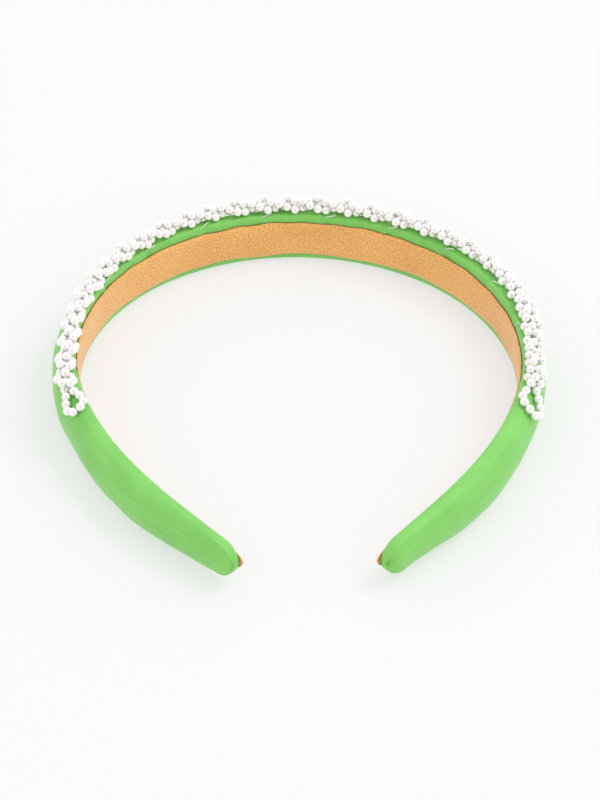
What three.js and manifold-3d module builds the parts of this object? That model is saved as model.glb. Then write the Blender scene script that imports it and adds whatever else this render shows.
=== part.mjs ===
// A padded hair band lying on its long edge, tips towards -Y, crown towards +Y, up towards +Z.
// A springy plastic strip carries a domed foam pad. Satin is pulled over both and turned in over the
// strip's back, a suede lining hides the turned-in edges, and a plait of three runs of small beads
// is tacked along the upper shoulder. All sizes are in millimetres.

import * as THREE from "three";
import { mergeVertices } from "three/addons/utils/BufferGeometryUtils.js";
import Module from "manifold-3d";

// ---- the curve of the band, measured along the lining from the crown's middle to one tip ----
const crownRadius = 70;
const crownHalfArc = 39;
const sideRadius = 61;
const sideArc = 80;
const legArc = 53;
const tipStraight = 24.5;
const mouthWidth = 38.4;

// ---- the band's section, from the lining's face outwards ----
const bandWidth = 17.2;
const bandThickness = 8.2;
const tipWidth = 12;
const tipThickness = 5.9;
const taperLength = 42;
const tipRoundLength = 5.5;
const backCornerRadius = 0.9;
const liningThickness = 0.6;
const satinThickness = 0.4;
const coreThickness = 1.2;
const gap = 0.3;

// ---- the lining and the turned-in satin ----
const liningMargin = 2.5;
const liningPastTip = 0.8;
const hemWidth = 4.2;
const hemAtTip = 9;

// ---- the bead plait ----
const beadDiameter = 2.4;
const beadNeckRadius = 0.7;
const beadSides = 6;
const plaitHalfLength = 120.5;
const plaitOffCentre = 1.5;
const plaitPitch = 22.5;
const plaitTighterAtEnds = 0.065;
const strandClearance = 0.08;
const plaitFromMiddle = { crown: 9.0, side: 11.2, end: 9.2 };
const plaitCrownReach = 20;
const plaitSideStart = 80;
const plaitSideEnd = 98;
const beadClearance = 0.15;
const plaitWrapRadius = 8;
const loopLength = 9;
const loopHalfWidth = 3;
const loopFullness = 0.25;

// ---- the stitches that hold the plait ----
const tacksPerSide = 12;
const tackThickness = 0.35;
const tackLength = 1.3;
const tackSlant = 3;

// ---- how finely curves are cut into facets ----
const bodyStations = 56;
const tipStations = 5;
const sectionSegments = 5;
const lastTipAngle = THREE.MathUtils.degToRad(80);
const plaitSampleStep = 1.2;
const routeDivisions = 4000;
const loopSamples = 9;
const loopStartAngle = THREE.MathUtils.degToRad(54);
const tackSides = 5;
const tackSteps = 5;

// ---- what follows from the sizes above ----
const halfLength = crownHalfArc + sideArc + legArc + tipStraight;
const backOffset = liningThickness + gap;
const coreOffset = backOffset + satinThickness + gap;
const domeStart = coreOffset + coreThickness + gap;
const layerInset = satinThickness + gap;
const halfWidth = bandWidth / 2;
const beadRadius = beadDiameter / 2;
const lowestBeadHeight = beadRadius + beadClearance;
// a strand swings one bead to each side, and then rises and dips this much to clear its neighbours
const plaitSwing = beadDiameter;
const plaitLift = beadDiameter * Math.sqrt(3 / 8) + strandClearance;
const plaitMiddleHeight = lowestBeadHeight + plaitLift;
const strandPhases = [60, 300, 180].map(THREE.MathUtils.degToRad);
// a third of a turn is left over, so that strands 1 and 2 end side by side on the left, 2 and 3 on the right
const plaitTurns = Math.round((2 * plaitHalfLength) / plaitPitch - 1 / 3) + 1 / 3;

const wasm = await Module();
wasm.setup();

const materials = {
  satin: () => new THREE.MeshStandardMaterial({ color: 0x5fbf4c, roughness: 0.42, metalness: 0 }),
  suede: () => new THREE.MeshStandardMaterial({ color: 0xd69a55, roughness: 0.95, metalness: 0 }),
  pearl: () => new THREE.MeshStandardMaterial({ color: 0xf6f1ec, roughness: 0.18, metalness: 0 }),
  strip: () => new THREE.MeshStandardMaterial({ color: 0x2c2c2e, roughness: 0.5, metalness: 0 }),
  foam: () => new THREE.MeshStandardMaterial({ color: 0xf1ecd8, roughness: 0.98, metalness: 0 }),
  thread: () => new THREE.MeshStandardMaterial({ color: 0xfafafa, roughness: 0.6, metalness: 0 }),
};

// ------------------------------------------------------------------ the band's own coordinates

// The point on the lining's face at arc length s from the crown, and the heading there.
// The heading grows by arc over radius along each stretch, and the last stretch is straight.
function bandLine(s, legRadius = fittedLegRadius) {
  const stretches = [
    [crownRadius, crownHalfArc],
    [sideRadius, sideArc],
    [legRadius, legArc],
    [Infinity, Infinity],
  ];
  let left = Math.abs(s);
  let heading = 0;
  let x = 0;
  let y = 0;
  for (const [radius, length] of stretches) {
    const run = Math.min(left, length);
    const turn = run / radius;
    // a chord of an arc points along the heading halfway round it
    const chord = turn === 0 ? run : 2 * radius * Math.sin(turn / 2);
    x += chord * Math.cos(heading + turn / 2);
    y -= chord * Math.sin(heading + turn / 2);
    heading += turn;
    left -= run;
  }
  const side = Math.sign(s);
  return { x: side * x, y, heading: side * heading };
}

// The legs bend just enough to leave the mouth between the tips. The bend is found by halving the
// range of curvatures, from a leg that flares outwards to one that curls in.
function legRadiusForMouth() {
  let flared = -0.02;
  let curled = 0.04;
  for (let i = 0; i < 50; i++) {
    const middle = (flared + curled) / 2;
    if (bandLine(halfLength, 1 / middle).x > mouthWidth / 2) flared = middle;
    else curled = middle;
  }
  return 2 / (flared + curled);
}

const fittedLegRadius = legRadiusForMouth();

// Arc length s, distance outwards from the lining's face and height above the band's middle,
// made a point in space.
function onBand(s, outwards, up) {
  const { x, y, heading } = bandLine(s);
  return new THREE.Vector3(
    x + outwards * Math.sin(heading),
    y + outwards * Math.cos(heading),
    halfWidth + up,
  );
}

const smoothRise = (u) => THREE.MathUtils.smoothstep(u, 0, 1);

// How far the taper towards the tip has gone at arc length s, from 0 to 1.
function taperAt(s) {
  return smoothRise((Math.abs(s) - (halfLength - taperLength)) / taperLength);
}

// 1 along the band, falling to 0 at the tip on a quarter ellipse, for a layer inset inside the satin.
function tipRounding(s, inset) {
  const past = Math.abs(s) - (halfLength - tipRoundLength);
  const reach = tipRoundLength - inset;
  return past <= 0 ? 1 : Math.sqrt(Math.max(0, 1 - (past / reach) ** 2));
}

// Arc lengths of a layer's stations: even along the body, closer together round each tip.
function stationsOf(inset) {
  const straight = halfLength - tipRoundLength;
  const reach = tipRoundLength - inset;
  const body = Array.from({ length: bodyStations + 1 }, (_, i) => straight * ((2 * i) / bodyStations - 1));
  const tip = Array.from({ length: tipStations }, (_, i) => {
    return straight + reach * Math.sin((lastTipAngle * (i + 1)) / tipStations);
  });
  return [...tip.map((s) => -s).reverse(), ...body, ...tip];
}

// ------------------------------------------------------------------ shared ways of making a solid

// Carries a flat section along stations: a straight bar with one step per station is extruded,
// and each of its points is then moved to where place(x, y, station number) says.
function carry(section, stationCount, place) {
  const steps = stationCount - 1;
  const options = { depth: steps, steps, bevelEnabled: false, curveSegments: sectionSegments };
  const bar = new THREE.ExtrudeGeometry(section, options);
  const position = bar.getAttribute("position");
  for (let i = 0; i < position.count; i++) {
    const moved = place(position.getX(i), position.getY(i), Math.round(position.getZ(i)));
    position.setXYZ(i, moved.x, moved.y, moved.z);
  }
  return closed(bar);
}

// A regular polygon about the origin.
function polygon(sides, radius) {
  const corners = Array.from({ length: sides }, (_, i) => {
    const angle = (2 * Math.PI * i) / sides;
    return new THREE.Vector2(radius * Math.cos(angle), radius * Math.sin(angle));
  });
  return new THREE.Shape(corners);
}

// One closed surface: the corners that meet are made one.
function closed(geometry) {
  geometry.deleteAttribute("normal");
  geometry.deleteAttribute("uv");
  const merged = mergeVertices(geometry, 1e-4);
  merged.computeVertexNormals();
  return merged;
}

function toSolid(geometry) {
  return new wasm.Manifold(
    new wasm.Mesh({
      numProp: 3,
      vertProperties: geometry.getAttribute("position").array,
      triVerts: new Uint32Array(geometry.index.array),
    }),
  );
}

function toGeometry(solid) {
  const mesh = solid.getMesh();
  const geometry = new THREE.BufferGeometry();
  geometry.setAttribute("position", new THREE.BufferAttribute(new Float32Array(mesh.vertProperties), 3));
  geometry.setIndex(new THREE.BufferAttribute(new Uint32Array(mesh.triVerts), 1));
  geometry.computeVertexNormals();
  return geometry;
}

function named(name, geometry, material) {
  const mesh = new THREE.Mesh(geometry, material);
  mesh.name = name;
  return mesh;
}

// ------------------------------------------------------------------ the layers of the band

// The dome alone, from its lower edge to its upper edge: half an ellipse, inset inside the satin's face.
function dome(inset) {
  const half = halfWidth - inset;
  const height = bandThickness - inset - domeStart;
  const outline = new THREE.Shape();
  outline.moveTo(domeStart, -half);
  outline.absellipse(domeStart, 0, height, half, -Math.PI / 2, Math.PI / 2, false, 0);
  return outline;
}

// The domed outline, inset evenly from the satin's face: a half ellipse on a short upright edge,
// closed by a flat back with rounded corners.
function domedOutline(inset) {
  const half = halfWidth - inset;
  const back = backOffset + inset;
  const corner = backCornerRadius - inset;
  const outline = dome(inset);
  outline.lineTo(back + corner, half);
  outline.quadraticCurveTo(back, half, back, half - corner);
  outline.lineTo(back, -half + corner);
  outline.quadraticCurveTo(back, -half, back + corner, -half);
  outline.closePath();
  return outline;
}

// The foam's outline: the same dome, inset by the satin and a clearance, cut flat on the strip's side.
function foamOutline() {
  const outline = dome(layerInset);
  outline.closePath();
  return outline;
}

// A flat strip's outline, its long edges rounded by a quarter of its thickness.
function stripOutline(from, thickness, half) {
  const round = thickness / 4;
  const to = from + thickness;
  const outline = new THREE.Shape();
  outline.moveTo(from + round, -half);
  outline.lineTo(to - round, -half);
  outline.lineTo(to, -half + round);
  outline.lineTo(to, half - round);
  outline.lineTo(to - round, half);
  outline.lineTo(from + round, half);
  outline.lineTo(from, half - round);
  outline.lineTo(from, -half + round);
  outline.closePath();
  return outline;
}

// Bends a layer onto the band. Its width follows the taper and the rounded tip. What lies outside
// the strip sinks with the thinner tip, and what lies inside keeps its distance from the lining.
function bendLayer(outline, inset, tipInset = inset) {
  const stations = stationsOf(tipInset);
  const fullHalf = halfWidth - inset;
  const fullDome = bandThickness - inset - domeStart;
  return carry(outline, stations.length, (outwards, up, station) => {
    const s = stations[station];
    const taper = taperAt(s);
    const round = tipRounding(s, tipInset);
    const half = THREE.MathUtils.lerp(bandWidth, tipWidth, taper) / 2 - inset;
    const dome = THREE.MathUtils.lerp(bandThickness, tipThickness, taper) - inset - domeStart;
    const thinning = outwards > domeStart ? (dome * round) / fullDome : 1;
    return onBand(s, domeStart + (outwards - domeStart) * thinning, (up * half * round) / fullHalf);
  });
}

// The satin: the domed outline less the room for the pad and strip, open along the back between the
// two turned-in hems, which stop short of the tips.
function satinCover() {
  const outer = toSolid(bendLayer(domedOutline(0), 0));
  const room = toSolid(bendLayer(domedOutline(satinThickness), satinThickness));
  return named("satin_cover", toGeometry(outer.subtract(room).subtract(backOpening())), materials.satin());
}

// What is cut from the satin's back: the strip between the hems, a little deeper than the satin.
function backOpening() {
  const half = halfWidth - backCornerRadius - hemWidth;
  const from = backOffset - gap;
  const thickness = satinThickness + 1.5 * gap;
  const reach = halfLength - hemAtTip;
  const outline = new THREE.Shape();
  outline.moveTo(from, -half);
  outline.lineTo(from + thickness, -half);
  outline.lineTo(from + thickness, half);
  outline.lineTo(from, half);
  outline.closePath();
  return toSolid(
    carry(outline, bodyStations + 1, (outwards, up, station) => {
      const s = reach * ((2 * station) / bodyStations - 1);
      const narrowing = THREE.MathUtils.lerp(bandWidth, tipWidth, taperAt(s)) / bandWidth;
      return onBand(s, outwards, up * narrowing);
    }),
  );
}

function foamPad() {
  return named("foam_pad", bendLayer(foamOutline(), layerInset), materials.foam());
}

function coreStrip() {
  const inset = backCornerRadius + gap;
  const outline = stripOutline(coreOffset, coreThickness, halfWidth - inset);
  return named("core_strip", bendLayer(outline, inset), materials.strip());
}

// The lining is glued over the hems and reaches a little past the satin at both tips.
function suedeLining() {
  const outline = stripOutline(0, liningThickness, halfWidth - liningMargin);
  return named("suede_lining", bendLayer(outline, liningMargin, -liningPastTip), materials.suede());
}

// ------------------------------------------------------------------ places on the satin's face

// The upper half of the section as a path that is measured from the middle of the dome:
// round the ellipse, back along the upright edge, round the corner and down the flat back.
const satinFace = new THREE.Path();
satinFace.absellipse(domeStart, 0, bandThickness - domeStart, halfWidth, 0, Math.PI / 2, false, 0);
satinFace.lineTo(backOffset + backCornerRadius, halfWidth);
satinFace.quadraticCurveTo(backOffset, halfWidth, backOffset, halfWidth - backCornerRadius);
satinFace.lineTo(backOffset, 0);

// The point and the outward normal of the section at a distance round it from the dome's middle.
function onFace(distance) {
  const along = Math.abs(distance) / satinFace.getLength();
  const point = satinFace.getPointAt(along);
  const tangent = satinFace.getTangentAt(along);
  const side = distance < 0 ? -1 : 1;
  return { out: point.x, up: side * point.y, normalOut: tangent.y, normalUp: -side * tangent.x };
}

// Distance of the plait's middle line from the dome's middle. Over the crown it runs along the
// shoulder, on each side it climbs onto the band's edge, and near its ends it drifts back a little.
function plaitDistance(s) {
  const { crown, side, end } = plaitFromMiddle;
  const away = Math.abs(s);
  const climb = smoothRise((away - plaitCrownReach) / (plaitSideStart - plaitCrownReach));
  const back = smoothRise((away - plaitSideEnd) / (plaitHalfLength - plaitSideEnd));
  return crown + (side - crown) * climb + (end - side) * back;
}

// A point of the plait: sideways from its middle line and above the satin. Sideways bends round a
// circle that touches the satin under the middle line, so that a wide plait sags over the shoulder.
function onPlait(s, sideways, height) {
  const { out, up, normalOut, normalUp } = onFace(plaitDistance(s));
  const lean = Math.atan2(normalUp, normalOut) + sideways / (plaitWrapRadius + plaitMiddleHeight);
  const reach = plaitWrapRadius + height;
  return onBand(
    s,
    out - plaitWrapRadius * normalOut + reach * Math.cos(lean),
    up - plaitWrapRadius * normalUp + reach * Math.sin(lean),
  );
}

// ------------------------------------------------------------------ the bead plait

// One strand of a three-strand plait: once across and back for each turn, and twice up and down,
// so that each strand passes over one neighbour and under the other.
function strandPoint(phase, s) {
  const u = (s - plaitOffCentre) / plaitHalfLength;
  const share = (u + plaitTighterAtEnds * u ** 3) / (1 + plaitTighterAtEnds);
  const angle = phase + Math.PI * plaitTurns * (share + 1);
  return onPlait(s, plaitSwing * Math.sin(angle), plaitMiddleHeight + plaitLift * Math.sin(2 * angle));
}

// Half of an end loop, from the plait's end to the loop's far point, on one side of the middle line.
function loopPoints(end, side) {
  const firstAngle = loopStartAngle;
  const points = [];
  for (let i = 0; i <= loopSamples; i++) {
    const angle = firstAngle + ((Math.PI - firstAngle) * i) / loopSamples;
    const beyond = (loopLength * (1 - Math.cos(angle))) / 2;
    const sideways = side * loopHalfWidth * Math.sin(angle) * (1 - loopFullness * Math.cos(angle));
    points.push(onPlait(plaitOffCentre + end * (plaitHalfLength + beyond), sideways, lowestBeadHeight));
  }
  return points;
}

// A strand's route. loops says at each end whether it runs on into a loop, and on which side.
function strandRoute(phase, loops) {
  const samples = Math.round((2 * plaitHalfLength) / plaitSampleStep);
  const plait = Array.from({ length: samples + 1 }, (_, i) => {
    return strandPoint(phase, plaitOffCentre + plaitHalfLength * ((2 * i) / samples - 1));
  });
  const left = loops.left ? loopPoints(-1, loops.left).reverse() : [];
  const right = loops.right ? loopPoints(1, loops.right) : [];
  const route = new THREE.CatmullRomCurve3([...left, ...plait, ...right], false, "centripetal");
  route.arcLengthDivisions = routeDivisions;
  return route;
}

// Beads in a row along a route: two rings for each bead, a narrow one where beads touch and a wide
// one round the middle. Half a gap is left free at both ends, where two strands of a loop meet.
function beadString(name, route) {
  const free = gap / 2;
  const usable = route.getLength() - 2 * free;
  const beads = Math.round(usable / beadDiameter);
  const rings = 2 * beads + 1;
  const at = (ring) => (free + (usable * ring) / (rings - 1)) / route.getLength();
  const frames = route.computeFrenetFrames(rings - 1, false);
  const centres = Array.from({ length: rings }, (_, ring) => route.getPointAt(at(ring)));
  const geometry = carry(polygon(beadSides, 1), rings, (x, y, ring) => {
    const radius = ring % 2 ? beadRadius : beadNeckRadius;
    return centres[ring]
      .clone()
      .addScaledVector(frames.normals[ring], x * radius)
      .addScaledVector(frames.binormals[ring], y * radius);
  });
  return named(name, geometry, materials.pearl());
}

function beadPlait() {
  const [first, second, third] = strandPhases;
  return [
    beadString("pearl_strand_1", strandRoute(first, { left: 1 })),
    beadString("pearl_strand_2", strandRoute(second, { left: -1, right: 1 })),
    beadString("pearl_strand_3", strandRoute(third, { right: -1 })),
  ];
}

// ------------------------------------------------------------------ the tack stitches

// A short thread that lies on the satin beside the plait and slants away from it. side is 1 on the
// lining's side of the plait, where it keeps clear of the lining's edge, and -1 on the other.
function tackStitch(name, s, side) {
  const nearest = plaitSwing + beadRadius + gap;
  const backLength = halfWidth - backCornerRadius;
  const liningEdge = satinFace.getLength() - backLength + liningMargin - backCornerRadius;
  const furthest = liningEdge - gap - tackThickness / 2;
  const start = Math.min(plaitDistance(s) + side * nearest, furthest);
  const finish = Math.min(start + side * tackLength, furthest);
  const points = Array.from({ length: tackSteps + 1 }, (_, i) => {
    const along = i / tackSteps;
    const distance = THREE.MathUtils.lerp(start, finish, along);
    const { out, up, normalOut, normalUp } = onFace(distance);
    const height = tackThickness / 2 + beadClearance;
    return onBand(s + tackSlant * along, out + height * normalOut, up + height * normalUp);
  });
  const route = new THREE.CatmullRomCurve3(points);
  const section = polygon(tackSides, tackThickness / 2);
  const options = { extrudePath: route, steps: tackSteps, bevelEnabled: false };
  const thread = new THREE.ExtrudeGeometry(section, options);
  return named(name, closed(thread), materials.thread());
}

function tackStitches() {
  const stitches = [];
  for (let i = 0; i < tacksPerSide; i++) {
    const s = plaitOffCentre + plaitHalfLength * ((2 * i + 1) / tacksPerSide - 1);
    const number = String(i + 1).padStart(2, "0");
    stitches.push(tackStitch(`inner_tack_${number}`, s, 1));
    stitches.push(tackStitch(`outer_tack_${number}`, s, -1));
  }
  return stitches;
}

// ------------------------------------------------------------------ the whole band

const band = new THREE.Group();
band.add(coreStrip(), foamPad(), satinCover(), suedeLining());
band.add(...beadPlait());
band.add(...tackStitches());

// The origin is under the middle of the band, on the surface that it lies on.
const extent = new THREE.Box3().setFromObject(band);
band.position.y = -(extent.min.y + extent.max.y) / 2;

const headband = new THREE.Group();
headband.add(band);

export default headband;
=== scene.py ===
# %% [markdown]
# # A padded hair band with a plait of pearls
#
# A hair band like this one is built in layers. A springy strip gives the curve, a domed pad of foam
# lies on the strip, satin is pulled over both, and a suede lining hides where the satin is turned in.
# A bead string is plaited from three runs and tacked along the upper shoulder.
#
# The strip comes from the CAD model. Every soft or fine piece is made here as a surface: numpy works
# out where its points are, as whole arrays, and Blender gets them as a mesh. Lengths in the formulas
# are in millimetres, and are turned into metres when a mesh is made.

# %% The CAD frame
import math

import bpy
import numpy as np
from mathutils import Matrix, Vector


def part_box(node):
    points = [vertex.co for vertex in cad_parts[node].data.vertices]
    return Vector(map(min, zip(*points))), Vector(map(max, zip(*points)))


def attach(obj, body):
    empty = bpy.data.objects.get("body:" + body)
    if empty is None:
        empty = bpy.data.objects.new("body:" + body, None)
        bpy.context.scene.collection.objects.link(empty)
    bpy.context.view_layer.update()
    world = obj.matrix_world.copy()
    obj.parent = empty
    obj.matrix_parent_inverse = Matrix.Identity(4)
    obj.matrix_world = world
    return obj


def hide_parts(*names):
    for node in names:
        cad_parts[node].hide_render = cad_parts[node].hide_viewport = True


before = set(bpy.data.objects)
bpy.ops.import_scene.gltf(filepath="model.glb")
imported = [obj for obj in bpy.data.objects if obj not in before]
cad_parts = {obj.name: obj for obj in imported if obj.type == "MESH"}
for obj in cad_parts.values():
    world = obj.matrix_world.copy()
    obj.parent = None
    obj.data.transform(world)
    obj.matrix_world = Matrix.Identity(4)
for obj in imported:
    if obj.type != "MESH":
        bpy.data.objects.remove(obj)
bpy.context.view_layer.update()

MM = 0.001

# %% [markdown]
# ## The camera
#
# The band is seen from in front and above through a long lens, which flattens the depth. The camera
# comes first because everything else is judged through it. A camera object looks along its own -Z
# with +Y up, so the three columns of its turn are its right, its up and the way back.

# %% Camera
VIEW_DISTANCE = 0.8967
VIEW_ELEVATION = math.radians(42)
VIEW_TURN = 0.054
VIEW_ROLL = 0.024
VIEW_LENS = 134.0
VIEW_AIM = Vector((0.0003, 0.0014, 0.0))

flat_out = Vector((-math.sin(VIEW_TURN), -math.cos(VIEW_TURN), 0))
way_back = flat_out * math.cos(VIEW_ELEVATION) + Vector((0, 0, 1)) * math.sin(VIEW_ELEVATION)
level_right = Vector((0, 0, 1)).cross(way_back).normalized()
level_up = way_back.cross(level_right)
right = level_right * math.cos(VIEW_ROLL) + level_up * math.sin(VIEW_ROLL)
up = level_up * math.cos(VIEW_ROLL) - level_right * math.sin(VIEW_ROLL)

camera_data = bpy.data.cameras.new("camera")
camera_data.sensor_width = 36
camera_data.lens = VIEW_LENS
camera_data.clip_end = 20
camera = bpy.data.objects.new("camera", camera_data)
bpy.context.scene.collection.objects.link(camera)
camera.matrix_world = Matrix.Translation(VIEW_AIM + way_back * VIEW_DISTANCE) @ Matrix(
    (right, up, way_back)
).transposed().to_4x4()
bpy.context.scene.camera = camera
print("camera at", [round(x, 3) for x in camera.location])

# %% [markdown]
# ## Short ways to build a material
#
# A material is a graph of nodes: textures make numbers, ramps turn the numbers into colours, and the
# Principled shader turns colours into a surface. The same few links come back in every material, so
# each has a short helper.

# %% Node helpers
def node_material(name):
    """A new material with its node tree and its Principled shader."""
    material = bpy.data.materials.new(name)
    material.use_nodes = True
    tree = material.node_tree
    return material, tree, tree.nodes["Principled BSDF"]


def add(tree, kind, **values):
    """Adds a node. A keyword sets the node's property of that name, or else its socket."""
    node = tree.nodes.new(kind)
    for key, value in values.items():
        if hasattr(node, key):
            setattr(node, key, value)
        else:
            node.inputs[key.replace("_", " ")].default_value = value
    return node


def set_sockets(shader, **values):
    """Sets a shader's own sockets, one keyword for each."""
    for key, value in values.items():
        shader.inputs[key.replace("_", " ")].default_value = value


def pattern(tree, where, kind="ShaderNodeTexNoise", **values):
    """Adds a texture that is read at a place, and gives its first output: noise, or depth in a cell."""
    texture = add(tree, kind, **values)
    tree.links.new(where, texture.inputs["Vector"])
    return texture.outputs[0]


def stretched(tree, where, scale):
    """Multiplies a place by a scale for each axis, so a texture read there is stretched."""
    mapping = add(tree, "ShaderNodeMapping", Scale=scale)
    tree.links.new(where, mapping.inputs["Vector"])
    return mapping.outputs["Vector"]


def two_tones(tree, value, low, high, low_at=0.0, high_at=1.0):
    """Turns a value into a colour: low up to low_at, high from high_at on, and a blend between."""
    ramp = add(tree, "ShaderNodeValToRGB")
    for stop, at, tone in zip(ramp.color_ramp.elements, (low_at, high_at), (low, high)):
        stop.position = at
        stop.color = (*tone, 1)
    tree.links.new(value, ramp.inputs["Fac"])
    return ramp.outputs["Color"]


def set_roughness(tree, shader, value, low, high):
    """Turns a value from 0 to 1 into a roughness from low to high."""
    spread = add(tree, "ShaderNodeMapRange", To_Min=low, To_Max=high)
    tree.links.new(value, spread.inputs["Value"])
    tree.links.new(spread.outputs["Result"], shader.inputs["Roughness"])


def set_bump(tree, shader, value, strength, distance):
    """Tilts the shader's normal as if the value were a height, distance metres high at 1."""
    bump = add(tree, "ShaderNodeBump", Strength=strength, Distance=distance)
    tree.links.new(value, bump.inputs["Height"])
    tree.links.new(bump.outputs["Normal"], shader.inputs["Normal"])


def mix_colours(tree, factor, first, second, blend_type="MIX"):
    """Mixes two colours. Each of factor, first and second is a number or colour, or an output."""
    node = add(tree, "ShaderNodeMix", data_type="RGBA", blend_type=blend_type)
    colour_sockets = [s for s in node.inputs if s.type == "RGBA"]
    for socket, value in zip([node.inputs[0], *colour_sockets], (factor, first, second)):
        if isinstance(value, bpy.types.NodeSocket):
            tree.links.new(value, socket)
        else:
            socket.default_value = value
    return next(s for s in node.outputs if s.type == "RGBA")


print("node helpers ready")

# %% [markdown]
# ## The floor
#
# Goods like this are shown on a white table that is lit from below as well as from above, so their
# shadows are faint and wide. The floor glows by about half and reflects by about a third.

# %% Floor
FLOOR_SIZE = 12.0
FLOOR_WHITE = 0.34
FLOOR_GLOW = 0.56

reach = FLOOR_SIZE / 2
corners = [(-reach, -reach, 0), (reach, -reach, 0), (reach, reach, 0), (-reach, reach, 0)]
floor_mesh = bpy.data.meshes.new("floor")
floor_mesh.from_pydata(corners, [], [(0, 1, 2, 3)])
floor = bpy.data.objects.new("floor", floor_mesh)
bpy.context.scene.collection.objects.link(floor)
floor_material, tree, shader = node_material("floor_paper")
set_sockets(
    shader,
    Base_Color=(FLOOR_WHITE, FLOOR_WHITE, FLOOR_WHITE, 1),
    Roughness=0.9,
    Specular_IOR_Level=0.1,
    Emission_Color=(1, 1, 1, 1),
    Emission_Strength=FLOOR_GLOW,
)
floor_mesh.materials.append(floor_material)
print("floor", FLOOR_SIZE, "m wide")

# %% [markdown]
# ## The white room
#
# A bright world does most of the lighting. Glossy pearls show what stands in front of them, and in a
# white room that is the dark shape of whoever looks at them, so the world has one dull brown patch
# in front of the band. It shows in reflections only, because a person far away takes hardly any
# light from the band.

# %% World
WORLD_STRENGTH = 1.0
PATCH_INNER = math.radians(18)
PATCH_OUTER = math.radians(36)
PATCH_COLOUR = (0.26, 0.09, 0.06, 1)

world = bpy.data.worlds.new("white_room")
bpy.context.scene.world = world
world.use_nodes = True
tree = world.node_tree
background = tree.nodes["Background"]
background.inputs["Strength"].default_value = WORLD_STRENGTH
direction = add(tree, "ShaderNodeTexCoord")
towards = add(tree, "ShaderNodeVectorMath", operation="DOT_PRODUCT")
towards.inputs[1].default_value = tuple(way_back)
tree.links.new(direction.outputs["Generated"], towards.inputs[0])
patch = add(
    tree,
    "ShaderNodeMapRange",
    interpolation_type="SMOOTHSTEP",
    From_Min=math.cos(PATCH_OUTER),
    From_Max=math.cos(PATCH_INNER),
)
tree.links.new(towards.outputs["Value"], patch.inputs["Value"])
ray = add(tree, "ShaderNodeLightPath")
mirrored = add(tree, "ShaderNodeMath", operation="MULTIPLY")
tree.links.new(patch.outputs["Result"], mirrored.inputs[0])
tree.links.new(ray.outputs["Is Glossy Ray"], mirrored.inputs[1])
room = mix_colours(tree, mirrored.outputs["Value"], (1, 1, 1, 1), PATCH_COLOUR)
tree.links.new(room, background.inputs["Color"])
print("world strength", WORLD_STRENGTH)

# %% [markdown]
# ## The lamp
#
# One large lamp up on the right gives the satin its lighter side. It is a square more than a metre
# wide, so the edges of its shadows are very soft.

# %% Lamp
LAMP_PLACE = (1.5, 0.3, 2.3)
LAMP_SIZE = 1.3
LAMP_POWER = 20.0

lamp_data = bpy.data.lights.new("key_lamp", "AREA")
lamp_data.shape = "SQUARE"
lamp_data.size = LAMP_SIZE
lamp_data.energy = LAMP_POWER
lamp = bpy.data.objects.new("key_lamp", lamp_data)
bpy.context.scene.collection.objects.link(lamp)
facing_band = Vector(LAMP_PLACE).to_track_quat("Z", "Y").to_matrix().to_4x4()
lamp.matrix_world = Matrix.Translation(LAMP_PLACE) @ facing_band
bpy.context.scene.view_settings.view_transform = "Standard"
print("lamp of", LAMP_POWER, "W")

# %% [markdown]
# ## The band's own coordinates
#
# Every piece follows the same curve, so all of them are drawn on a straight band and then bent. A
# place on the band is an arc length `s` from the crown, a distance `out` from the lining's face, and
# a height `up` from the band's middle. The curve is three arcs and a straight stretch on each side.
# These sizes are the CAD model's own.

# %% The curve
CROWN_RADIUS, CROWN_ARC = 70.0, 39.0
SIDE_RADIUS, SIDE_ARC = 61.0, 80.0
LEG_ARC = 53.0
TIP_STRAIGHT = 24.5
MOUTH_WIDTH = 38.4
HALF_LENGTH = CROWN_ARC + SIDE_ARC + LEG_ARC + TIP_STRAIGHT
BAND_WIDTH = (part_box("satin_cover")[1].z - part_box("satin_cover")[0].z) / MM
HALF_WIDTH = BAND_WIDTH / 2
LINING_THICKNESS = 0.6
CROWN_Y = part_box("suede_lining")[1].y / MM - LINING_THICKNESS


def smooth_rise(u):
    """0 below 0, 1 above 1, and an S-shaped rise between: 3u squared less 2u cubed."""
    u = np.clip(u, 0, 1)
    return u * u * (3 - 2 * u)


def band_line(s, leg_radius):
    """The lining's face at arc length s: x, y and the heading. Along an arc the heading grows by arc
    over radius, and the chord points along the heading halfway round it."""
    left = np.abs(s)
    heading, x, y = np.zeros_like(left), np.zeros_like(left), np.zeros_like(left)
    arcs = (CROWN_RADIUS, CROWN_ARC), (SIDE_RADIUS, SIDE_ARC), (leg_radius, LEG_ARC)
    for radius, arc in (*arcs, (np.inf, np.inf)):
        run = np.minimum(left, arc)
        turn = run / radius
        chord = run * np.sinc(turn / (2 * np.pi))
        x = x + chord * np.cos(heading + turn / 2)
        y = y - chord * np.sin(heading + turn / 2)
        heading = heading + turn
        left = left - run
    return np.sign(s) * x, y, np.sign(s) * heading


def leg_radius_for_mouth():
    """Halves a range of curvatures until the two tips stand the mouth's width apart."""
    flared, curled = -0.02, 0.04
    for _ in range(50):
        middle = (flared + curled) / 2
        if band_line(np.array(HALF_LENGTH), 1 / middle)[0] > MOUTH_WIDTH / 2:
            flared = middle
        else:
            curled = middle
    return 2 / (flared + curled)


LEG_RADIUS = leg_radius_for_mouth()


def on_band(s, out, up):
    """Arc length, distance outwards and height made points: the lining's face, moved outwards at a
    right angle to the heading."""
    x, y, heading = band_line(s, LEG_RADIUS)
    x, y = x + out * np.sin(heading), y + out * np.cos(heading) + CROWN_Y
    return np.stack(np.broadcast_arrays(x, y, HALF_WIDTH + up), axis=-1)


print("leg radius", round(float(LEG_RADIUS), 1), "mm, half length", HALF_LENGTH, "mm")

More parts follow.
